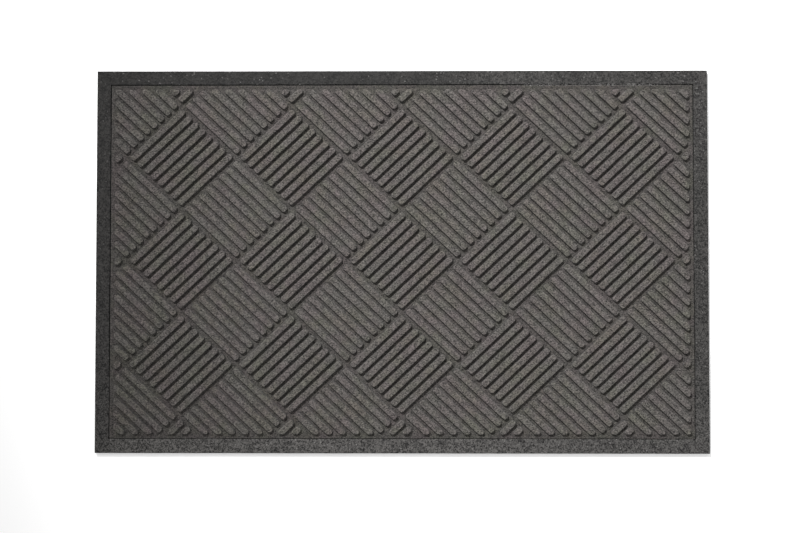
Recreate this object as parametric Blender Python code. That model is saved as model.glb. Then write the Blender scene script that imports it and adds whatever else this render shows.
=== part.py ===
"""Door mat: a fibre face with raised parquet bars, bonded into a rubber backing with a rubber border.

The mat lies flat. The origin is the middle of its footprint on the floor, +X runs along its length,
+Y towards its back edge and +Z up. All sizes are in metres.
"""

import math

import bmesh
import bpy
from mathutils import Vector
from mathutils.geometry import delaunay_2d_cdt

# Overall size
MAT_LENGTH = 0.9144  # along X
MAT_WIDTH = 0.5715  # along Y

# Clearances
STACK_GAP = 0.0003  # between two bonded layers
MITRE_GAP = 0.0003  # between two border strips, across the mitre

# Rubber backing sheet with square grip cleats under it
SHEET_THICKNESS = 0.0022
CLEAT_HEIGHT = 0.0010
CLEAT_SIDE = 0.0100
CLEAT_PITCH = 0.0360
CLEAT_DRAFT = 0.0010  # how far a cleat's side slopes in over its height
CLEAT_EDGE_MARGIN = 0.0120  # least distance from a cleat to the sheet's edge

# Rubber border strips
BORDER_WIDTH = 0.0207
BORDER_THICKNESS = 0.0026
BEVEL_WIDTH = 0.0012  # outer bevel, measured along the floor
BEVEL_HEIGHT = 0.0008
LIP_CHAMFER = 0.0004  # along the inner edge, beside the groove
GROOVE_WIDTH = 0.0012  # open groove between the border and the fibre face

# Layers under and in the fibre face
FILM_THICKNESS = 0.0003
SCRIM_THICKNESS = 0.0005
GROUND_THICKNESS = 0.0010  # fibre between and under the bars
BAR_HEIGHT = 0.0036  # bars above the ground
BAR_DRAFT = 0.0009  # how far a bar's side slopes in over its height

# Parquet pattern: diamond blocks of parallel bars, turned the other way from block to block
BLOCK_HALF_X = 0.0823  # centre of a block to its left or right corner
BLOCK_HALF_Y = 0.0772  # centre of a block to its front or back corner
BARS_PER_BLOCK = 8
BAR_GAP = 0.0039  # channel between two bars of one block, at the ground
BLOCK_GAP = 0.0057  # channel between two blocks, at the ground
PATTERN_SHIFT_Y = 0.0010  # centre block's middle, behind the mat's middle
FIELD_MARGIN = 0.0060  # plain fibre between the face's edge and the bars
NARROWEST_BAR = 0.0040  # a trimmed bar narrower than this is left out
SHORTEST_EDGE = 3 * BAR_DRAFT  # a trimmed bar's shorter edges become a corner

# Heights that follow from the layers
SHEET_TOP = CLEAT_HEIGHT + SHEET_THICKNESS
FILM_BOTTOM = SHEET_TOP + STACK_GAP
SCRIM_BOTTOM = FILM_BOTTOM + FILM_THICKNESS + STACK_GAP
FACE_BOTTOM = SCRIM_BOTTOM + SCRIM_THICKNESS + STACK_GAP

# Half sizes of the fibre face, inside the border and its groove
FACE_HALF_X = MAT_LENGTH / 2 - BORDER_WIDTH - GROOVE_WIDTH
FACE_HALF_Y = MAT_WIDTH / 2 - BORDER_WIDTH - GROOVE_WIDTH

# Each material's linear colour and roughness
FINISHES = {
    "base_rubber": ((0.055, 0.053, 0.050), 0.85),
    "border_rubber": ((0.062, 0.061, 0.058), 0.80),
    "bond_film": ((0.020, 0.020, 0.020), 0.50),
    "scrim_fabric": ((0.090, 0.085, 0.075), 0.90),
    "face_fibre": ((0.160, 0.148, 0.135), 0.95),
}

# Settings of the flat triangulation
WHOLE_OUTLINE = 0  # triangles over the whole outline, pads included
SAME_POINT = 1e-7  # points this close are one


def clear_scene():
    for leftover in list(bpy.data.objects):
        bpy.data.objects.remove(leftover, do_unlink=True)


def material(name):
    colour, roughness = FINISHES[name]
    finish = bpy.data.materials.new(name)
    finish.use_nodes = True
    shader = finish.node_tree.nodes["Principled BSDF"]
    shader.inputs["Base Color"].default_value = (*colour, 1.0)
    shader.inputs["Roughness"].default_value = roughness
    shader.inputs["Metallic"].default_value = 0.0
    return finish


def add_object(name, bm, finish, parent, location=(0.0, 0.0, 0.0), rotation=(0.0, 0.0, 0.0)):
    bmesh.ops.recalc_face_normals(bm, faces=bm.faces)
    mesh = bpy.data.meshes.new(name)
    bm.to_mesh(mesh)
    bm.free()
    mesh.materials.append(finish)
    piece = bpy.data.objects.new(name, mesh)
    piece.location = location
    piece.rotation_euler = rotation
    piece.parent = parent
    bpy.context.scene.collection.objects.link(piece)
    return piece


# Flat outlines, as anticlockwise lists of 2-D points


def rectangle(half_x, half_y, centre_x=0.0, centre_y=0.0):
    corners = ((-half_x, -half_y), (half_x, -half_y), (half_x, half_y), (-half_x, half_y))
    return [Vector((centre_x + x, centre_y + y)) for x, y in corners]


def next_in(loop):
    """Each item of a closed loop with the item after it."""
    return zip(loop, loop[1:] + loop[:1])


def inward_normal(start, end):
    along = (end - start).normalized()
    return Vector((-along.y, along.x))


def inset(loop, distance):
    """A convex outline with every edge moved inwards by the same distance."""
    normals = [inward_normal(start, end) for start, end in next_in(loop)]
    before = normals[-1:] + normals[:-1]
    return [
        corner + (first + second) * distance / (1 + first.dot(second))
        for corner, first, second in zip(loop, before, normals)
    ]


def trimmed(loop, limit_x, limit_y):
    """The part of a convex outline within limit_x and limit_y of the origin."""
    for axis, limit in ((0, limit_x), (1, limit_y)):
        for sign in (1, -1):
            kept = []
            for here, there in next_in(loop):
                room_here = limit - sign * here[axis]
                room_there = limit - sign * there[axis]
                if room_here >= 0:
                    kept.append(here)
                if room_here * room_there < 0:
                    kept.append(here.lerp(there, room_here / (room_here - room_there)))
            loop = kept
    return loop


def without_short_edges(loop, shortest):
    """A convex outline whose edges shorter than shortest are drawn together to one corner."""
    loop = list(loop)
    position = 0
    while position < len(loop):
        following = (position + 1) % len(loop)
        if (loop[following] - loop[position]).length < shortest:
            loop[position] = (loop[position] + loop[following]) / 2
            loop.pop(following)
            position = 0
        else:
            position += 1
    return loop


def narrowest_width(loop):
    """The width of a convex outline across its narrowest way."""
    return min(
        max((corner - start).dot(inward_normal(start, end)) for corner in loop)
        for start, end in next_in(loop)
    )


# The parquet bars


def block_point(row, column, along_slash, along_backslash):
    """A point of a block, from its fractions along the two edge directions."""
    slash = row + along_slash
    backslash = column + along_backslash
    x = BLOCK_HALF_X * (slash + backslash - 1)
    y = BLOCK_HALF_Y * (slash - backslash) + PATTERN_SHIFT_Y
    return Vector((x, y))


def block_bars(row, column):
    """The foot outlines of one block's bars, running along / or \\ by turns from block to block."""
    side = math.hypot(BLOCK_HALF_X, BLOCK_HALF_Y)
    bar_width = (side - BLOCK_GAP - (BARS_PER_BLOCK - 1) * BAR_GAP) / BARS_PER_BLOCK
    ends = (BLOCK_GAP / 2 / side, 1 - BLOCK_GAP / 2 / side)
    runs_along_slash = (row + column) % 2 == 0
    for count in range(BARS_PER_BLOCK):
        low = (BLOCK_GAP / 2 + count * (bar_width + BAR_GAP)) / side
        sides = (low, low + bar_width / side)
        slash, backslash = (ends, sides) if runs_along_slash else (sides, ends)
        yield [
            block_point(row, column, slash[0], backslash[0]),
            block_point(row, column, slash[0], backslash[1]),
            block_point(row, column, slash[1], backslash[1]),
            block_point(row, column, slash[1], backslash[0]),
        ]


def face_bars():
    """The foot outlines of every bar, trimmed where a block runs past the field."""
    limit_x = FACE_HALF_X - FIELD_MARGIN
    limit_y = FACE_HALF_Y - FIELD_MARGIN
    reach = math.ceil(limit_x / BLOCK_HALF_X + limit_y / BLOCK_HALF_Y)
    bars = []
    for row in range(-reach, reach + 1):
        for column in range(-reach, reach + 1):
            for bar in block_bars(row, column):
                bar = without_short_edges(trimmed(bar, limit_x, limit_y), SHORTEST_EDGE)
                if len(bar) > 2 and narrowest_width(bar) >= NARROWEST_BAR:
                    bars.append(bar)
    return bars


def cleat_outlines():
    """The root outlines of the grip cleats, on a centred grid with one cleat in the middle."""
    half = CLEAT_SIDE / 2
    steps_x = int((MAT_LENGTH / 2 - CLEAT_EDGE_MARGIN - half) / CLEAT_PITCH)
    steps_y = int((MAT_WIDTH / 2 - CLEAT_EDGE_MARGIN - half) / CLEAT_PITCH)
    return [
        rectangle(half, half, column * CLEAT_PITCH, row * CLEAT_PITCH)
        for column in range(-steps_x, steps_x + 1)
        for row in range(-steps_y, steps_y + 1)
    ]


# Solids


def wall(bm, lower, upper):
    """Faces between two closed rings with as many vertices each."""
    for (low_start, low_end), (high_start, high_end) in zip(next_in(lower), next_in(upper)):
        bm.faces.new((low_start, low_end, high_end, high_start))


def relief_slab(half_x, half_y, thickness, pads, pad_height, draft):
    """A slab from z = 0 to thickness with drafted pads on its upper face, as one closed surface."""
    loops = [rectangle(half_x, half_y), *pads]
    points = []
    edges = []
    owners = []
    for owner, loop in enumerate(loops):
        numbers = list(range(len(points), len(points) + len(loop)))
        points += loop
        edges += list(next_in(numbers))
        owners += [owner] * len(loop)
    _, _, triangles, sources, _, _ = delaunay_2d_cdt(points, edges, [], WHOLE_OUTLINE, SAME_POINT)

    bm = bmesh.new()
    level = [bm.verts.new((*point, thickness)) for point in points]
    for triangle in triangles:
        corners = [sources[corner][0] for corner in triangle]
        under = {owners[corner] for corner in corners}
        if len(under) > 1 or under == {0}:
            bm.faces.new([level[corner] for corner in corners])

    first = len(loops[0])
    bottom = [bm.verts.new((*point, 0.0)) for point in loops[0]]
    bm.faces.new(bottom)
    wall(bm, bottom, level[:first])
    for pad in pads:
        foot = level[first : first + len(pad)]
        crown = [bm.verts.new((*point, thickness + pad_height)) for point in inset(pad, draft)]
        wall(bm, foot, crown)
        bm.faces.new(crown)
        first += len(pad)
    return bm


def border_strip(half_length, half_width):
    """One border strip along X, with its outer edge at y = -half_width and mitred ends.

    The profile runs round the section as (distance in from the outer edge, height).
    """
    profile = (
        (0.0, 0.0),
        (BORDER_WIDTH, 0.0),
        (BORDER_WIDTH, BORDER_THICKNESS - LIP_CHAMFER),
        (BORDER_WIDTH - LIP_CHAMFER, BORDER_THICKNESS),
        (BEVEL_WIDTH, BORDER_THICKNESS),
        (0.0, BORDER_THICKNESS - BEVEL_HEIGHT),
    )
    mitre_back = MITRE_GAP / math.sqrt(2)
    bm = bmesh.new()
    ends = []
    for sign in (-1, 1):
        ring = [
            bm.verts.new((sign * (half_length - depth - mitre_back), depth - half_width, height))
            for depth, height in profile
        ]
        bm.faces.new(ring)
        ends.append(ring)
    wall(bm, *ends)
    return bm


# The pieces


def make_rubber_base(finish, parent):
    """Backing sheet, built cleats up and turned over about X."""
    bm = relief_slab(
        MAT_LENGTH / 2, MAT_WIDTH / 2, SHEET_THICKNESS, cleat_outlines(), CLEAT_HEIGHT, CLEAT_DRAFT
    )
    add_object("rubber_base", bm, finish, parent, (0.0, 0.0, SHEET_TOP), (math.pi, 0.0, 0.0))


def make_border_strips(finish, parent):
    half_x = MAT_LENGTH / 2
    half_y = MAT_WIDTH / 2
    strips = (
        ("border_front", half_x, half_y, 0.0),
        ("border_right", half_y, half_x, math.pi / 2),
        ("border_back", half_x, half_y, math.pi),
        ("border_left", half_y, half_x, -math.pi / 2),
    )
    for name, half_length, half_width, turn in strips:
        bm = border_strip(half_length, half_width)
        add_object(name, bm, finish, parent, (0.0, 0.0, FILM_BOTTOM), (0.0, 0.0, turn))


def make_layer(name, bottom, thickness, finish, parent):
    """A plain layer under the fibre face, as long and wide as the face."""
    bm = relief_slab(FACE_HALF_X, FACE_HALF_Y, thickness, [], 0.0, 0.0)
    add_object(name, bm, finish, parent, (0.0, 0.0, bottom))


def make_fibre_face(finish, parent):
    bm = relief_slab(
        FACE_HALF_X, FACE_HALF_Y, GROUND_THICKNESS, face_bars(), BAR_HEIGHT, BAR_DRAFT
    )
    add_object("fibre_face", bm, finish, parent, (0.0, 0.0, FACE_BOTTOM))


def main():
    clear_scene()
    mat = bpy.data.objects.new("door_mat", None)
    bpy.context.scene.collection.objects.link(mat)
    make_rubber_base(material("base_rubber"), mat)
    make_border_strips(material("border_rubber"), mat)
    make_layer("bond_film", FILM_BOTTOM, FILM_THICKNESS, material("bond_film"), mat)
    make_layer("fibre_scrim", SCRIM_BOTTOM, SCRIM_THICKNESS, material("scrim_fabric"), mat)
    make_fibre_face(material("face_fibre"), mat)


main()
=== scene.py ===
"""The look of the door mat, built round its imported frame.

Everything is in metres, in the mat's own frame: +X along its length, +Y to its back edge, +Z up.
The fibre face, the border strips and the rubber base get a fine mesh each, drawn from the frame's own
outlines. The bond film and the scrim are hidden between them and keep their solids.
"""

import math
import random
from typing import NamedTuple

import bmesh
import bpy
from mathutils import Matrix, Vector, noise
from mathutils.geometry import delaunay_2d_cdt


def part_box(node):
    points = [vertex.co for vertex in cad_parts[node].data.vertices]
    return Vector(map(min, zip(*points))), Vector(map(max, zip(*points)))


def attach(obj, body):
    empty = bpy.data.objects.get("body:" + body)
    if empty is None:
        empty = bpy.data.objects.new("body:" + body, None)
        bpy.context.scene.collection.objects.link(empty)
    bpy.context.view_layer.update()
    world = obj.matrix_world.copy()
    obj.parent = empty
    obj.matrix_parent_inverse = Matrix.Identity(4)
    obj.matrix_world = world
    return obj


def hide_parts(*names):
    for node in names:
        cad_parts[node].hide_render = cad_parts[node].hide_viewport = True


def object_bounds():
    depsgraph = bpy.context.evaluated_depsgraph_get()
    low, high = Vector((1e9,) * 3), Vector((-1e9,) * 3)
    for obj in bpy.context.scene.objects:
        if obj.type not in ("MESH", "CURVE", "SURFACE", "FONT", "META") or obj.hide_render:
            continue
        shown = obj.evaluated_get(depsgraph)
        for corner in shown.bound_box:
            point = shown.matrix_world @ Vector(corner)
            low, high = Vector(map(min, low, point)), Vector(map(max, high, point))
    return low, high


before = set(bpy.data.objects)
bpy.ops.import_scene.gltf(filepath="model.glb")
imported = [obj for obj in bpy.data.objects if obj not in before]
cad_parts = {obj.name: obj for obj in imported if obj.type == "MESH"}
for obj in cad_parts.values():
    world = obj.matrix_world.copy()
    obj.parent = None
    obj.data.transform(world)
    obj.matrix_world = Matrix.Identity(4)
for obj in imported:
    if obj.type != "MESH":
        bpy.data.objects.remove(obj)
cad_box = [list(corner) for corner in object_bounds()]

# Fibre bars. A profile lists rings as (distance in from the foot, share of the height).
BAR_DRAFT = 0.0009  # the frame's bars are this much smaller on top than at the foot
BAR_CORNER = 0.0038
BAR_PROFILE = ((0.0001, 0.0), (0.0003, 0.42), (0.0005, 0.82), (0.0008, 0.96), (0.0013, 1.0), (0.0020, 1.0))
BAR_STEP = 0.0068  # between two points along a straight edge
BAR_WOBBLE = 0.00029  # how far the pressed edges wander

# Grip cleats under the base
CLEAT_DRAFT = 0.0010
CLEAT_CORNER = 0.0016
CLEAT_PROFILE = ((0.0, 0.0), (0.0003, 0.45), (0.0007, 0.85), (0.0013, 1.0))
CLEAT_STEP = 0.0100

# Sheet edges
SHEET_CORNER = 0.0012
SHEET_STEP = 0.0045
EDGE_WANDER = 0.00035  # how far the fibre sheet's cut edge strays
EDGE_PULL = 0.3  # share of that by which it lies inwards on the whole
FACE_EDGE = ((0.0007, 0.0), (0.0002, 0.00020), (0.0, 0.00055))  # (in from the edge, below the ground)
BASE_EDGE = ((0.0006, 0.0), (0.00015, 0.00015), (0.0, 0.0005))  # (in from the edge, above the underside)
BOND_SEAM = 0.00002  # hairline left between two bonded rubber pieces

# Border strips
LIP_ROUND = 0.0006
RIM_ROUND = 0.0011
RIM_FLATTEN = 0.7  # the outer rim's round is this much lower than it is wide
BORDER_STEP = 0.0030
BORDER_UNEVEN = 0.00009
LIP_WANDER = 0.00060  # how far the trimmed inner edge strays
MITRE_FADE = 0.0120  # towards a mitre, the unevenness fades over this length

# Unevenness, as waves of (size, seed, share)
PRESS_WAVES = ((0.009, 1.3, 1.0), (0.035, 5.1, 0.6))  # a pad's pressed outline
CROWN_WAVES = ((0.02, 9.7, 0.03),)  # a pad's height
CUT_WAVES = ((0.011, 6.4, 1.0),)  # the fibre sheet's cut edge
TOP_WAVES = ((0.016, 2.2, 0.7), (0.005, 7.7, 0.5))  # a strip's top
LIP_WAVES = ((0.030, 3.9, 1.0), (0.009, 4.6, 0.5))  # a strip's inner edge

# Loose fibres along the back edge
FRINGE_PLACES = ((0.210, 0.018), (0.285, 0.030), (0.320, 0.030), (0.350, 0.025))  # (middle, spread) along X
FRINGE_COUNT = 230
FRINGE_ROOT = (0.0004, 0.0016)  # in from the sheet's edge
FRINGE_TURN = 0.7  # spread of their headings, in radians
FRINGE_BEND = 0.8  # most that one turns along its length, in radians
FRINGE_LENGTH = (0.0020, 0.0042)
FRINGE_LIFT = (0.00015, 0.0006)
FRINGE_RADIUS = 0.00012
FRINGE_TAPER = 0.5
FRINGE_PARTS = 4
FRINGE_SIDES = 3
FRINGE_SEED = 7

ARC_POINTS = 5
EDGE_FIT = 0.96  # most of a straight edge that the arcs at its ends may take
SHARP_ANGLE = math.radians(50)
FLAT_LEVEL = 1e-5  # heights closer than this are the same level
SAME_POINT = 1e-7
INSIDE_OUTLINE = 1
UP = Vector((0, 0, 1))

# Fibre look. Colours are (value, warmth).
FIBRE_DARK = (0.006, 0.030)
FIBRE_LIGHT = (0.095, 0.030)
FIBRE_RUNS = ((0.35, 0.0007), (1.40, 0.0008), (2.45, 0.0006))  # (direction, thickness) of layers of strands
STRAND_STRETCH = (0.22, 1.0, 1.0)
TUFT_SIZE = 0.0014
FLUFF_SIZE = 0.0020
# Painted shade in the channels between bars and up a bar's walls, as (share of its height, tone)
FIBRE_PAINTED_SHADE = ((0.0, 0.66), (0.08, 0.42), (0.72, 0.38), (0.97, 1.0), (1.0, 1.0))
BACK_RIM = (0.2570, 0.2590)  # from here to here along Y the sheet darkens towards its back rim
BACK_RIM_TONE = 0.80
PINK_SIZE = 0.034
PINK_TINT = (1.06, 0.97, 1.02, 1.0)
GREEN_SIZE = 0.027
GREEN_SHIFT = 4.0  # keeps the green patches apart from the pink ones
GREEN_TINT = (0.99, 1.03, 0.92, 1.0)
LOOSE_DARK = (0.045, 0.04)
LOOSE_LIGHT = (0.24, 0.03)
LOOSE_SHADE_SIZE = 0.0009
LOOSE_GRAIN_SIZE = 0.0003

TONE_WARMTH = 0.045  # of a tone that changes along an axis

# Rubber look
GRANULE_SIZE = 0.0026
CRUMB_SIZE = 0.0013
DUST_SIZE = 0.0006
CLOUD_SIZE = 0.022
SPECK_SIZE = 0.0016
SPECK_LIGHTNESS = 4  # times the last tone of its piece
SPECK_WARMTH = 0.03
CRUMB_CONTRAST = 1.80  # times the tone at its place, for the lightest crumbs
BASE_TONES = ((-0.3, 0.028), (0.3, 0.024))
BASE_SPECKS = 0.012

# Film and scrim look
FILM_RIPPLE = 0.004
FILM_DARK = 0.012
FILM_LIGHT = 0.026
SCRIM_TAPE = 0.004
SCRIM_LIGHT = (0.11, 0.06)
SCRIM_DARK = (0.08, 0.06)
SCRIM_GAP = 0.06  # share of SCRIM_TAPE
SCRIM_GAP_TONE = 0.02

# Camera, at the product shot's place
LENS = 50.0
CAMERA_PLACE = (0.0123, -0.0557, 1.6634)
CAMERA_TURN = (math.radians(1.651), math.radians(0.505), math.radians(0.005))

# Studio light and floor
KEY_BEARING = math.radians(121)  # anticlockwise from +X
KEY_ELEVATION = math.radians(38)
KEY_REACH = 5.0
KEY_AIM = (0.290, -0.050, 0.0)
KEY_BEAM = math.radians(21.0)
KEY_RADIUS = 0.22
KEY_POWER = 2480.0
SURROUND = 0.80
FLOOR_HALF = 4.0
FLOOR_TONE = 0.98
FLOOR_GLOW = 0.10


class Strip(NamedTuple):
    """A border strip. It runs along direction, and inward points from the mat's edge to its middle."""

    side: str
    direction: tuple
    inward: tuple
    reach: float  # its lip stands this much further into the groove than the solid does
    axis: int  # the axis that it runs along, 0 for X or 1 for Y
    # the tones hold painted light and shade on top of the rubber's own dark grey
    tones: tuple  # (place along the axis, tone)
    specks: float  # share of light granules


# Border tones: the rubber's own dark grey with painted light and shade, each strip lit to its own lightness
# as the light falls on it
FRONT_TONES_AND_PAINTED_LIGHT = (
    (-0.455, 0.032),
    (-0.405, 0.046),
    (-0.25, 0.040),
    (-0.05, 0.037),
    (0.10, 0.039),
    (0.25, 0.033),
    (0.455, 0.0325),
)
BACK_TONES_AND_PAINTED_LIGHT = (
    (-0.455, 0.0128),
    (-0.1, 0.0110),
    (0.05, 0.0130),
    (0.14, 0.0236),
    (0.3, 0.0203),
    (0.455, 0.0230),
)
LEFT_TONES_AND_PAINTED_LIGHT = (
    (-0.285, 0.032),
    (-0.235, 0.028),
    (-0.15, 0.0205),
    (0.0, 0.0165),
    (0.12, 0.0150),
    (0.285, 0.0144),
)
RIGHT_TONES_AND_PAINTED_LIGHT = ((-0.285, 0.031), (-0.2, 0.026), (-0.05, 0.021), (0.285, 0.0230))

BORDER_STRIPS = (
    Strip("front", (1.0, 0.0), (0.0, 1.0), 0.0005, 0, FRONT_TONES_AND_PAINTED_LIGHT, 0.010),
    Strip("back", (-1.0, 0.0), (0.0, -1.0), 0.0, 0, BACK_TONES_AND_PAINTED_LIGHT, 0.014),
    Strip("left", (0.0, -1.0), (1.0, 0.0), 0.0, 1, LEFT_TONES_AND_PAINTED_LIGHT, 0.010),
    Strip("right", (0.0, 1.0), (-1.0, 0.0), 0.0, 1, RIGHT_TONES_AND_PAINTED_LIGHT, 0.018),
)


class Pads(NamedTuple):
    """Rounded pads on one face of a sheet."""

    rings: list  # (ring at the foot, share of the profile's insets that its arcs leave room for)
    level: float  # the ground that they stand on
    height: float  # negative on an underside
    profile: tuple
    wobble: float


# Meshes


def smooth_step(share):
    share = min(max(share, 0.0), 1.0)
    return share * share * (3 - 2 * share)


def wander(point, size, seed):
    """A smooth random number from about -1 to 1 that changes over size."""
    return noise.noise(Vector((point.x / size, point.y / size, seed)))


def waves(point, parts):
    return sum(share * wander(point, size, seed) for size, seed, share in parts)


def next_in(loop):
    """Each item of a closed loop with the item after it."""
    return zip(loop, loop[1:] + loop[:1])


class Surface:
    """Rings of points, joined into faces."""

    def __init__(self):
        self.verts = []
        self.faces = []

    def add_ring(self, points):
        first = len(self.verts)
        self.verts.extend(points)
        return list(range(first, len(self.verts)))

    def join(self, ring, following):
        for (a, b), (c, d) in zip(next_in(ring), next_in(following)):
            self.faces.append((a, b, d, c))

    def cap(self, ring):
        self.faces.append(ring)

    def add_piece(self, name, material):
        """A smooth-shaded piece on the root body, with its wide flat faces cut into triangles."""
        mesh = bpy.data.meshes.new(name)
        mesh.from_pydata(self.verts, [], self.faces)
        bm = bmesh.new()
        bm.from_mesh(mesh)
        wide = [face for face in bm.faces if len(face.verts) > 4]
        bmesh.ops.triangulate(bm, faces=wide)
        bmesh.ops.recalc_face_normals(bm, faces=bm.faces)
        bm.to_mesh(mesh)
        bm.free()
        mesh.shade_smooth()
        mesh.set_sharp_from_angle(angle=SHARP_ANGLE)
        mesh.materials.append(material)
        piece = bpy.data.objects.new(name, mesh)
        bpy.context.scene.collection.objects.link(piece)
        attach(piece, "root")
        return piece


def crown_outlines(node, upward):
    """The corners of each raised pad's flat top in a CAD node, anticlockwise seen from above."""
    bm = bmesh.new()
    bm.from_mesh(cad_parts[node].data)
    bmesh.ops.remove_doubles(bm, verts=bm.verts, dist=SAME_POINT)
    low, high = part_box(node)
    crown_z = high.z if upward else low.z
    crowns = [f for f in bm.faces if all(abs(v.co.z - crown_z) < FLAT_LEVEL for v in f.verts)]
    joined = bmesh.ops.dissolve_faces(bm, faces=crowns, use_verts=False)["region"]
    outlines = []
    for face in joined:
        corners = [Vector(v.co.xy) for v in face.verts]
        if not upward:
            corners.reverse()
        outlines.append(corners)
    bm.free()
    return outlines


def moved_out(corners, distance):
    """A convex outline with every edge moved outwards by the same distance."""
    normals = []
    for start, end in next_in(corners):
        along = (end - start).normalized()
        normals.append(Vector((along.y, -along.x)))
    before = normals[-1:] + normals[:-1]
    return [
        corner + (first + second) * distance / (1 + first.dot(second))
        for corner, first, second in zip(corners, before, normals)
    ]


def corner_arc(corner, to_last, to_next, half, bend):
    """Points and outward normals round one corner, whose half angle is half and arc's radius bend."""
    inwards = (to_last.normalized() + to_next.normalized()).normalized()
    centre = corner + inwards * bend / math.sin(half)
    heading = math.atan2(to_last.x, -to_last.y)
    turn = math.pi - 2 * half
    arc = []
    for part in range(ARC_POINTS):
        angle = heading + turn * part / (ARC_POINTS - 1)
        normal = Vector((math.cos(angle), math.sin(angle)))
        arc.append((centre + normal * bend, normal))
    return arc


def rounded_outline(corners, radius, step):
    """Points round a convex outline with arcs for corners, as (point, outward normal) pairs.

    It also returns the smallest arc's radius, which is less than radius beside a short edge.
    """
    edges = [end - start for start, end in next_in(corners)]
    halves = [(-edges[number - 1]).angle(edges[number]) / 2 for number in range(len(corners))]
    reaches = [radius / math.tan(half) for half in halves]
    fits = [min(1.0, EDGE_FIT * edge.length / sum(pair)) for edge, pair in zip(edges, next_in(reaches))]
    bends = [radius * min(fits[number - 1], fits[number]) for number in range(len(corners))]
    arcs = []
    for number, corner in enumerate(corners):
        arcs.append(corner_arc(corner, -edges[number - 1], edges[number], halves[number], bends[number]))
    ring = []
    for arc, following in next_in(arcs):
        ring += arc
        start, normal = arc[-1]
        end = following[0][0]
        pieces = max(1, round((end - start).length / step))
        ring += [(start.lerp(end, part / pieces), normal) for part in range(1, pieces)]
    return ring, min(bends)


def pad_rings(node, upward, draft, radius, step, deepest):
    """Each pad's foot ring, with the share of the profile's insets that its arcs leave room for."""
    rings = []
    for corners in crown_outlines(node, upward):
        ring, smallest = rounded_outline(moved_out(corners, draft), radius, step)
        rings.append((ring, min(1.0, smallest / deepest)))
    return rings


def level_between(node, low, high):
    """The height of the flat ground between a node's pads and its other face."""
    heights = sorted({round(v.co.z, 5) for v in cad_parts[node].data.vertices})
    return next(z for z in heights if low + FLAT_LEVEL < z < high - FLAT_LEVEL)


def sheet_outline(low, high):
    corners = [Vector(xy) for xy in ((low.x, low.y), (high.x, low.y), (high.x, high.y), (low.x, high.y))]
    ring, _ = rounded_outline(corners, SHEET_CORNER, SHEET_STEP)
    return ring


def raise_pad(surface, ring, scale, pads):
    """Adds one pad's sides and flat top, and returns its foot."""
    rings = []
    for inset, share in pads.profile:
        points = []
        for point, normal in ring:
            place = point + normal * (pads.wobble * waves(point, PRESS_WAVES) - inset * scale)
            lift = pads.height * share * (1 + waves(point, CROWN_WAVES) * share)
            points.append((*place, pads.level + lift))
        rings.append(surface.add_ring(points))
    for lower, upper in zip(rings, rings[1:]):
        surface.join(lower, upper)
    surface.cap(rings[-1])
    return rings[0]


def fill_ground(surface, loops):
    """Fills the ground inside the first loop and outside the others with triangles."""
    flat = []
    owners = []
    lines = []
    for owner, loop in enumerate(loops):
        numbers = list(range(len(flat), len(flat) + len(loop)))
        lines += list(next_in(numbers))
        flat += [Vector(surface.verts[number][:2]) for number in loop]
        owners += [owner] * len(loop)
    order = [number for loop in loops for number in loop]
    _, _, triangles, sources, _, _ = delaunay_2d_cdt(flat, lines, [], INSIDE_OUTLINE, SAME_POINT)
    for triangle in triangles:
        corners = [sources[corner][0] for corner in triangle]
        under = {owners[corner] for corner in corners}
        if len(under) > 1 or under == {0}:
            surface.faces.append([order[corner] for corner in corners])


def relief_sheet(name, outline, edge, far_z, pads, material):
    """A sheet with pads on one face, as one closed surface.

    outline is a ring of (point, normal) pairs, edge lists (inset, depth) from the pads' level, and far_z
    is the height of the other face.
    """
    surface = Surface()
    side = 1 if pads.height > 0 else -1
    rings = []
    for inset, depth in edge[:1]:
        points = [(*(point - normal * inset), pads.level - side * depth) for point, normal in outline]
        rings.append(surface.add_ring(points))
    feet = [raise_pad(surface, ring, scale, pads) for ring, scale in pads.rings]
    fill_ground(surface, rings + feet)
    for inset, depth in edge[1:]:
        points = [(*(point - normal * inset), pads.level - side * depth) for point, normal in outline]
        rings.append(surface.add_ring(points))
    rings.append(surface.add_ring([(*point, far_z) for point, _ in outline]))
    for ring, following in zip(rings, rings[1:]):
        surface.join(ring, following)
    surface.cap(rings[-1])
    return surface.add_piece(name, material)


def make_fibre_face(material):
    low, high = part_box("fibre_face")
    ground = level_between("fibre_face", low.z, high.z)
    outline = [
        (point + normal * EDGE_WANDER * (waves(point, CUT_WAVES) - EDGE_PULL), normal)
        for point, normal in sheet_outline(low, high)
    ]
    rings = pad_rings("fibre_face", True, BAR_DRAFT, BAR_CORNER, BAR_STEP, BAR_PROFILE[-1][0])
    bars = Pads(rings, ground, high.z - ground, BAR_PROFILE, BAR_WOBBLE)
    face = relief_sheet("face_fibre_sheet", outline, FACE_EDGE, low.z, bars, material)
    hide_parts("fibre_face")


def make_fringe(material):
    """Loose fibres that reach from the sheet's back edge over the groove, along part of it."""
    low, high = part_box("fibre_face")
    ground = level_between("fibre_face", low.z, high.z)
    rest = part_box("border_back")[1].z
    chance = random.Random(FRINGE_SEED)
    surface = Surface()
    for _ in range(FRINGE_COUNT):
        spot = chance.choice(FRINGE_PLACES)
        start = Vector((chance.gauss(*spot), high.y - chance.uniform(*FRINGE_ROOT)))
        add_fibre(surface, chance, start, ground, rest)
    fringe = surface.add_piece("fringe_loose_fibres", material)
    return fringe


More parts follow.
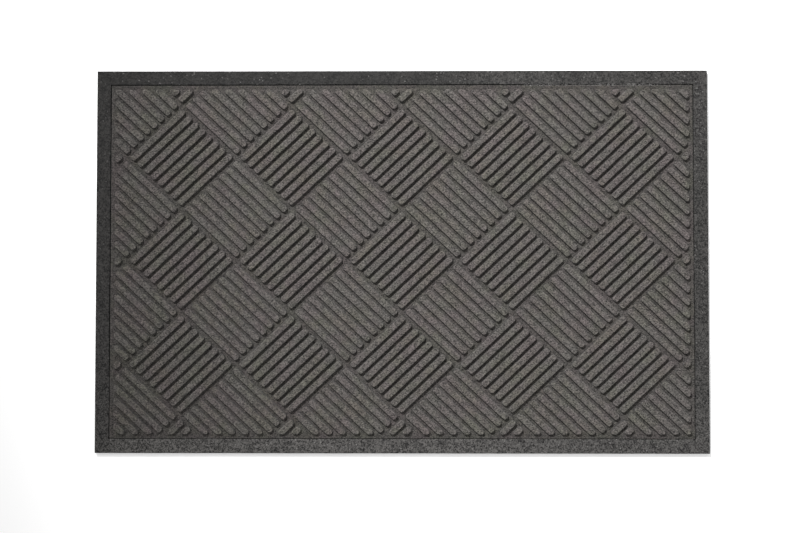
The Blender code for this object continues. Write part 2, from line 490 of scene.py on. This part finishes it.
def add_fibre(surface, chance, start, ground, rest):
    """One curved, tapering fibre that rises from the ground and comes down on the border, at rest."""
    heading = math.pi / 2 + chance.gauss(0.0, FRINGE_TURN)
    bend = chance.uniform(-FRINGE_BEND, FRINGE_BEND)
    length = chance.uniform(*FRINGE_LENGTH)
    lift = chance.uniform(*FRINGE_LIFT)
    rings = []
    for part in range(FRINGE_PARTS + 1):
        share = part / FRINGE_PARTS
        facing = heading + bend * share
        along = Vector((math.cos(facing), math.sin(facing)))
        across = Vector((-along.y, along.x, 0.0))
        height = ground + (rest - ground) * share + lift * 4 * share * (1 - share)
        middle = Vector((*(start + along * length * share), height))
        thick = FRINGE_RADIUS * (1 - FRINGE_TAPER * share)
        angles = [math.tau * number / FRINGE_SIDES for number in range(FRINGE_SIDES)]
        points = [middle + thick * (math.cos(angle) * across + math.sin(angle) * UP) for angle in angles]
        rings.append(surface.add_ring(points))
    surface.cap(rings[0])
    for ring, following in zip(rings, rings[1:]):
        surface.join(ring, following)
    surface.cap(rings[-1])


def make_rubber_base(material):
    low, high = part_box("rubber_base")
    underside = level_between("rubber_base", low.z, high.z)
    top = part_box("border_front")[0].z - BOND_SEAM
    rings = pad_rings("rubber_base", False, CLEAT_DRAFT, CLEAT_CORNER, CLEAT_STEP, CLEAT_PROFILE[-1][0])
    cleats = Pads(rings, underside, low.z - underside, CLEAT_PROFILE, 0.0)
    base = relief_sheet("base_rubber_sheet", sheet_outline(low, high), BASE_EDGE, top, cleats, material)
    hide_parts("rubber_base")


def border_profile(width, bottom, top):
    """The strip's section, as (distance in from the outer edge, height) round a closed loop."""
    quarter = [math.pi / 2 * part / (ARC_POINTS - 1) for part in range(ARC_POINTS)]
    profile = [(0.0, bottom)]
    for angle in quarter:
        drop = RIM_ROUND * RIM_FLATTEN * (1 - math.sin(angle))
        profile.append((RIM_ROUND * (1 - math.cos(angle)), top - drop))
    flat = width - RIM_ROUND - LIP_ROUND
    pieces = round(2 * flat / BORDER_STEP)
    profile += [(RIM_ROUND + flat * part / pieces, top) for part in range(1, pieces)]
    for angle in quarter:
        profile.append((width - LIP_ROUND * (1 - math.sin(angle)), top - LIP_ROUND * (1 - math.cos(angle))))
    profile.append((width, bottom))
    return profile


def make_border_strip(strip, material):
    """One strip, cut to a mitre at both ends. Its depth is measured inwards from the mat's edge."""
    node = f"border_{strip.side}"
    low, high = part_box(node)
    corner = Vector([abs(value) for value in cad_box[0][:2]])
    along = Vector(strip.direction)
    inwards = Vector(strip.inward)
    half_length = abs(along.dot(corner))
    half_across = abs(inwards.dot(corner))
    size = high - low
    width = min(size.x, size.y) + strip.reach
    profile = border_profile(width, low.z, high.z)
    stations = round(2 * half_length / BORDER_STEP)
    surface = Surface()
    rings = []
    for station in range(stations + 1):
        share = 2 * station / stations - 1
        points = []
        for depth, height in profile:
            run = share * (half_length - depth)
            place = along * run + inwards * (depth - half_across)
            fade = smooth_step((half_length - depth - abs(run)) / MITRE_FADE)
            rise = (height - low.z) / size.z
            stray = BORDER_UNEVEN + (LIP_WANDER - BORDER_UNEVEN) * smooth_step(2 * depth / width - 1)
            shift = waves(place, LIP_WAVES) * stray * fade
            bump = waves(place, TOP_WAVES) * BORDER_UNEVEN * rise * fade
            points.append((*(place + inwards * shift), height + bump))
        rings.append(surface.add_ring(points))
    for ring, following in zip(rings, rings[1:]):
        surface.join(ring, following)
    surface.cap(rings[0])
    surface.cap(rings[-1])
    piece = surface.add_piece(f"{node}_rubber", material)
    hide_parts(node)


# Materials


def grey(value, warmth=0.0):
    """A near-grey colour; warmth moves it from neutral towards brown."""
    return (value * (1 + warmth), value, value * (1 - warmth), 1.0)


class Nodes:
    """A short way to write a material's node tree."""

    def __init__(self, name):
        self.material = bpy.data.materials.new(name)
        self.material.use_nodes = True
        self.tree = self.material.node_tree
        self.shader = self.tree.nodes["Principled BSDF"]
        self.place = self.add("ShaderNodeTexCoord").outputs["Object"]

    def add(self, kind, inputs=None, **settings):
        made = self.tree.nodes.new(kind)
        for name, value in settings.items():
            setattr(made, name, value)
        for name, value in (inputs or {}).items():
            self.put(made.inputs[name], value)
        return made

    def put(self, socket, value):
        """Links a node's output to a socket, or sets the socket to a plain value."""
        if isinstance(value, bpy.types.NodeSocket):
            self.tree.links.new(value, socket)
        else:
            socket.default_value = value

    def shade(self, name, value):
        self.put(self.shader.inputs[name], value)

    def noise(self, size, detail=2.0, roughness=0.5, place=None):
        made = self.add(
            "ShaderNodeTexNoise",
            {"Vector": place or self.place, "Scale": 1 / size, "Detail": detail, "Roughness": roughness},
        )
        return made.outputs["Fac"]

    def cells(self, size, output="Color"):
        return self.add("ShaderNodeTexVoronoi", {"Vector": self.place, "Scale": 1 / size}).outputs[output]

    def moved(self, **settings):
        """The place, moved, turned or scaled."""
        return self.add("ShaderNodeMapping", {"Vector": self.place, **settings}).outputs["Vector"]

    def ranged(self, value, low, high, to_low=0.0, to_high=1.0):
        made = self.add(
            "ShaderNodeMapRange",
            {"Value": value, "From Min": low, "From Max": high, "To Min": to_low, "To Max": to_high},
        )
        return made.outputs["Result"]

    def channel(self, colour, number):
        return self.add("ShaderNodeSeparateColor", {"Color": colour}).outputs[number]

    def maths(self, operation, first, second):
        made = self.add("ShaderNodeMath", operation=operation)
        self.put(made.inputs[0], first)
        self.put(made.inputs[1], second)
        return made.outputs[0]

    def total(self, *parts):
        """The sum of values times their weights."""
        result = None
        for value, weight in parts:
            part = self.maths("MULTIPLY", value, weight)
            result = part if result is None else self.maths("ADD", result, part)
        return result

    def mix(self, share, first, second, blend="MIX"):
        made = self.add("ShaderNodeMix", data_type="RGBA", blend_type=blend)
        self.put(made.inputs[0], share)
        self.put(made.inputs[6], first)
        self.put(made.inputs[7], second)
        return made.outputs[2]

    def darkened(self, colour, tone):
        return self.mix(1.0, colour, tone, "MULTIPLY")

    def tinted(self, share, colour, tint):
        return self.mix(share, colour, self.darkened(colour, tint))

    def place_along(self, axis):
        return self.add("ShaderNodeSeparateXYZ", {"Vector": self.place}).outputs[axis]

    def along(self, axis, stops):
        """A grey that changes along an axis; stops lists (place, tone) in order."""
        first = stops[0][0]
        last = stops[-1][0]
        made = self.add("ShaderNodeValToRGB", {"Fac": self.ranged(self.place_along(axis), first, last)})
        elements = made.color_ramp.elements
        elements.remove(elements[-1])
        elements[0].position = 0.0
        elements[0].color = grey(stops[0][1], TONE_WARMTH)
        for place, tone in stops[1:]:
            elements.new((place - first) / (last - first)).color = grey(tone, TONE_WARMTH)
        return made.outputs["Color"]

    def bump(self, height, distance, strength, before=None):
        inputs = {"Height": height, "Distance": distance, "Strength": strength}
        if before is not None:
            inputs["Normal"] = before
        return self.add("ShaderNodeBump", inputs).outputs["Normal"]


def matted_strands(nodes):
    """Layers of fine strands that lie in a few directions."""
    total = None
    for angle, thickness in FIBRE_RUNS:
        run = nodes.moved(Rotation=(0.0, 0.0, angle), Scale=STRAND_STRETCH)
        layer = nodes.noise(thickness, detail=1.0, roughness=0.6, place=run)
        total = layer if total is None else nodes.maths("ADD", total, layer)
    return nodes.ranged(total, low=0.40 * len(FIBRE_RUNS), high=0.60 * len(FIBRE_RUNS))


def hue_patches(nodes, colour):
    """Faint pink and green patches, several bars wide."""
    pink = nodes.noise(PINK_SIZE, detail=2.0, roughness=0.6)
    colour = nodes.tinted(nodes.ranged(pink, low=0.38, high=0.66), colour, PINK_TINT)
    apart = nodes.moved(Location=(GREEN_SHIFT, GREEN_SHIFT, GREEN_SHIFT))
    green = nodes.noise(GREEN_SIZE, detail=2.0, roughness=0.6, place=apart)
    return nodes.tinted(nodes.ranged(green, low=0.42, high=0.68), colour, GREEN_TINT)


def fibre_material(ground, crown):
    """Needle-punched fibre: dark and light strands and tufts, with painted shade that darkens the channels
    and the bars' walls.
    """
    nodes = Nodes("face_fibre")
    strands = matted_strands(nodes)
    tufts = nodes.channel(nodes.cells(TUFT_SIZE), 0)
    fluff = nodes.ranged(nodes.noise(FLUFF_SIZE, detail=3.0, roughness=0.7), low=0.32, high=0.68)
    blend = nodes.total((strands, 0.30), (tufts, 0.40), (fluff, 0.30))
    colour = nodes.mix(nodes.ranged(blend, low=0.21, high=0.79), grey(*FIBRE_DARK), grey(*FIBRE_LIGHT))
    colour = hue_patches(nodes, colour)
    # painted shade: the ground between bars and the bars' walls are darker, where shade falls
    shade = [(ground + share * (crown - ground), tone) for share, tone in FIBRE_PAINTED_SHADE]
    colour = nodes.darkened(colour, nodes.along(2, shade))
    rim = nodes.ranged(nodes.place_along(1), *BACK_RIM, to_low=1.0, to_high=BACK_RIM_TONE)
    colour = nodes.darkened(colour, rim)
    nodes.shade("Base Color", colour)
    nodes.shade("Roughness", nodes.ranged(tufts, 0.0, 1.0, to_low=0.82, to_high=1.0))
    nodes.shade("Specular IOR Level", 0.15)
    nodes.shade("Sheen Weight", 0.08)
    nodes.shade("Sheen Roughness", 0.6)
    rough = nodes.bump(nodes.total((fluff, 0.6), (tufts, 0.4)), distance=0.0006, strength=0.8)
    nodes.shade("Normal", nodes.bump(strands, distance=0.0003, strength=0.7, before=rough))
    return nodes.material


def fringe_material():
    """Single pale and mid-grey fibres, a little lighter than the matted sheet."""
    nodes = Nodes("loose_fibre")
    strand = nodes.channel(nodes.cells(LOOSE_SHADE_SIZE), 0)
    nodes.shade("Base Color", nodes.mix(strand, grey(*LOOSE_DARK), grey(*LOOSE_LIGHT)))
    nodes.shade("Roughness", nodes.ranged(strand, 0.0, 1.0, to_low=0.6, to_high=0.9))
    nodes.shade("Normal", nodes.bump(nodes.noise(LOOSE_GRAIN_SIZE), distance=0.0001, strength=0.5))
    return nodes.material


def rubber_material(name, axis, tones, specks):
    """Pressed rubber crumb: granules of different greys and sizes, with a share of light specks.

    tones lists (place, tone) stops along an axis. On the border strips these stops hold painted light and
    shade as well as the rubber's own dark grey: each strip has its own lightness, which changes along its
    length, as the light falls on it.
    """
    nodes = Nodes(name)
    granules = nodes.channel(nodes.cells(GRANULE_SIZE), 0)
    crumbs = nodes.channel(nodes.cells(CRUMB_SIZE), 1)
    dust = nodes.noise(DUST_SIZE)
    clouds = nodes.ranged(nodes.noise(CLOUD_SIZE, detail=3.0, roughness=0.6), low=0.30, high=0.70)
    blend = nodes.total((granules, 0.24), (crumbs, 0.46), (dust, 0.20), (clouds, 0.10))
    contrast = nodes.ranged(blend, low=0.28, high=0.72, to_low=0.0, to_high=CRUMB_CONTRAST)
    # on the border strips these tones along the axis are painted light and shade
    colour = nodes.darkened(nodes.along(axis, tones), contrast)
    chosen = nodes.channel(nodes.cells(SPECK_SIZE), 2)
    pale = nodes.ranged(chosen, low=1 - specks, high=1 - specks * 0.6, to_low=0.0, to_high=0.7)
    colour = nodes.mix(pale, colour, grey(SPECK_LIGHTNESS * tones[-1][1], SPECK_WARMTH))
    nodes.shade("Base Color", colour)
    nodes.shade("Roughness", nodes.ranged(crumbs, 0.0, 1.0, to_low=0.70, to_high=0.95))
    nodes.shade("Specular IOR Level", 0.25)
    rough = nodes.bump(nodes.cells(GRANULE_SIZE, "Distance"), distance=0.0006, strength=0.5)
    grain = nodes.total((crumbs, 0.5), (dust, 0.5))
    nodes.shade("Normal", nodes.bump(grain, distance=0.0003, strength=0.6, before=rough))
    return nodes.material


def film_material():
    """Black hot-melt film with a slightly orange-peel skin."""
    nodes = Nodes("bond_film")
    ripple = nodes.noise(FILM_RIPPLE)
    nodes.shade("Base Color", nodes.mix(ripple, grey(FILM_DARK), grey(FILM_LIGHT)))
    nodes.shade("Roughness", nodes.ranged(ripple, low=0.3, high=0.7, to_low=0.35, to_high=0.55))
    nodes.shade("Normal", nodes.bump(ripple, distance=0.0003, strength=0.4))
    return nodes.material


def scrim_material():
    """Open plain weave of flat tapes."""
    nodes = Nodes("scrim_fabric")
    weave = nodes.add(
        "ShaderNodeTexBrick",
        {
            "Vector": nodes.place,
            "Color1": grey(*SCRIM_LIGHT),
            "Color2": grey(*SCRIM_DARK),
            "Mortar": grey(SCRIM_GAP_TONE),
            "Scale": 1 / SCRIM_TAPE,
            "Mortar Size": SCRIM_GAP,
        },
    )
    nodes.shade("Base Color", weave.outputs["Color"])
    nodes.shade("Roughness", 0.9)
    nodes.shade("Normal", nodes.bump(weave.outputs["Fac"], distance=-0.0003, strength=0.8))
    return nodes.material


def floor_material():
    nodes = Nodes("white_floor")
    nodes.shade("Base Color", grey(FLOOR_TONE))
    nodes.shade("Roughness", 0.9)
    nodes.shade("Specular IOR Level", 0.1)
    nodes.shade("Emission Color", grey(1.0))
    nodes.shade("Emission Strength", FLOOR_GLOW)
    return nodes.material


def set_finish(node, material):
    """Gives a CAD node that stays in the model its material."""
    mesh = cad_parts[node].data
    mesh.materials.clear()
    mesh.materials.append(material)


# Room


def make_floor():
    mesh = bpy.data.meshes.new("floor")
    signs = ((-1, -1), (1, -1), (1, 1), (-1, 1))
    mesh.from_pydata([(x * FLOOR_HALF, y * FLOOR_HALF, 0) for x, y in signs], [], [(0, 1, 2, 3)])
    mesh.materials.append(floor_material())
    floor = bpy.data.objects.new("floor", mesh)
    bpy.context.scene.collection.objects.link(floor)


def make_key_light():
    """A low light from the back left, whose beam fades towards the front left."""
    beam = bpy.data.lights.new("key", "SPOT")
    beam.energy = KEY_POWER
    beam.spot_size = KEY_BEAM
    beam.spot_blend = 1.0
    beam.shadow_soft_size = KEY_RADIUS
    lamp = bpy.data.objects.new("key", beam)
    level = math.cos(KEY_ELEVATION)
    towards = Vector((level * math.cos(KEY_BEARING), level * math.sin(KEY_BEARING), math.sin(KEY_ELEVATION)))
    lamp.location = Vector(KEY_AIM) + KEY_REACH * towards
    lamp.rotation_euler = towards.to_track_quat("Z", "Y").to_euler()
    bpy.context.scene.collection.objects.link(lamp)


def make_surround():
    """A pale room all round, which gives the soft fill light."""
    world = bpy.data.worlds.new("surround")
    world.use_nodes = True
    background = world.node_tree.nodes["Background"]
    background.inputs["Color"].default_value = (1.0, 1.0, 1.0, 1.0)
    background.inputs["Strength"].default_value = SURROUND
    bpy.context.scene.world = world


def make_camera():
    camera = bpy.data.cameras.new("camera")
    camera.lens = LENS
    eye = bpy.data.objects.new("camera", camera)
    eye.location = CAMERA_PLACE
    eye.rotation_euler = CAMERA_TURN
    bpy.context.scene.collection.objects.link(eye)
    bpy.context.scene.camera = eye


make_floor()
make_key_light()
make_surround()
make_camera()
face_low, face_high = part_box("fibre_face")
fibre = fibre_material(level_between("fibre_face", face_low.z, face_high.z), face_high.z)
fringe = make_fringe(fringe_material())
make_fibre_face(fibre)
make_rubber_base(rubber_material("base_rubber", 0, BASE_TONES, BASE_SPECKS))
for strip in BORDER_STRIPS:
    rubber = rubber_material(f"border_rubber_{strip.side}", strip.axis, strip.tones, strip.specks)
    make_border_strip(strip, rubber)
set_finish("bond_film", film_material())
set_finish("fibre_scrim", scrim_material())
bpy.context.scene.view_settings.view_transform = "Standard"
